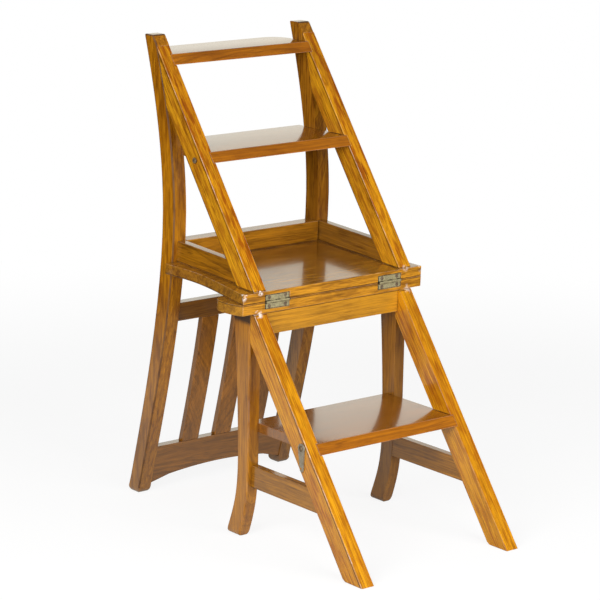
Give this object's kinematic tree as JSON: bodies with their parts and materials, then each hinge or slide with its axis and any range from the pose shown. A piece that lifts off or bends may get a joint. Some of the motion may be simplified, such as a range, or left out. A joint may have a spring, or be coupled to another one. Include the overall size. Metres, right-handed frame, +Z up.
{
  "type": "folding step stool chair",
  "caption": "Hardwood library step chair: a side chair whose seat, back and rear legs turn over front hinges into a set of steps, shown as steps.",
  "frame": {"origin": "on the floor, under the middle of the bounding box in step form", "axes": "+Z up, -Y the side that is climbed, X across the treads"},
  "size_m": [0.452, 0.7108, 0.9],
  "materials": {
    "seat_wood": "worn satin lacquer",
    "tread_wood": "satin lacquer",
    "stile_wood": "golden brown lacquer, worn edges",
    "leg_wood": "golden brown lacquer",
    "rail_wood": "golden brown lacquer",
    "back_wood": "brown lacquer",
    "hinge_brass": "aged brass, dull",
    "screw_brass": "dark aged brass",
    "hook_steel": "dull grey brown metal"
  },
  "bodies": {
    "base": {"seat_front_strip": "seat_wood", "front_apron": "leg_wood", "front_leg_left": "leg_wood", "front_leg_right": "leg_wood", "base_stile_left": "stile_wood", "base_stile_right": "stile_wood", "base_side_rail_left": "rail_wood", "base_side_rail_right": "rail_wood", "base_step": "tread_wood", "hinge_lower_leaf_left": "hinge_brass", "hinge_lower_leaf_right": "hinge_brass", "hinge_pin_left": "hinge_brass", "hinge_pin_right": "hinge_brass", "lower_screw_left_1": "screw_brass", "lower_screw_left_2": "screw_brass", "lower_screw_right_1": "screw_brass", "lower_screw_right_2": "screw_brass", "latch_pivot_screw_left": "screw_brass", "latch_pivot_screw_right": "screw_brass"},
    "back_frame": {"seat_board": "seat_wood", "seat_side_rail_left": "rail_wood", "seat_side_rail_right": "rail_wood", "seat_back_rail": "rail_wood", "back_post_left": "leg_wood", "back_post_right": "leg_wood", "back_stile_left": "stile_wood", "back_stile_right": "stile_wood", "middle_step": "tread_wood", "top_step": "tread_wood", "back_cross_rail": "back_wood", "back_slat_1": "back_wood", "back_slat_2": "back_wood", "back_slat_3": "back_wood", "crest_rail": "back_wood", "hinge_upper_leaf_left": "hinge_brass", "hinge_upper_leaf_right": "hinge_brass", "upper_screw_left_1": "screw_brass", "upper_screw_left_2": "screw_brass", "upper_screw_right_1": "screw_brass", "upper_screw_right_2": "screw_brass", "catch_pin_left": "screw_brass", "catch_pin_right": "screw_brass"},
    "latch_left": {"latch_hook_left": "hook_steel"},
    "latch_right": {"latch_hook_right": "hook_steel"}
  },
  "joints": [
    {"name": "chair_fold", "type": "hinge", "parent": "base", "child": "back_frame", "pos_m": [0, -0.03969, 0.45], "axis": [1, 0, 0], "range_deg": [0, 180]},
    {"name": "latch_left_swing", "type": "hinge", "parent": "base", "child": "latch_left", "pos_m": [-0.1873, -0.18223, 0.2146], "axis": [1, 0, 0], "continuous": true},
    {"name": "latch_right_swing", "type": "hinge", "parent": "base", "child": "latch_right", "pos_m": [0.1873, -0.18223, 0.2146], "axis": [1, 0, 0], "continuous": true}
  ]
}
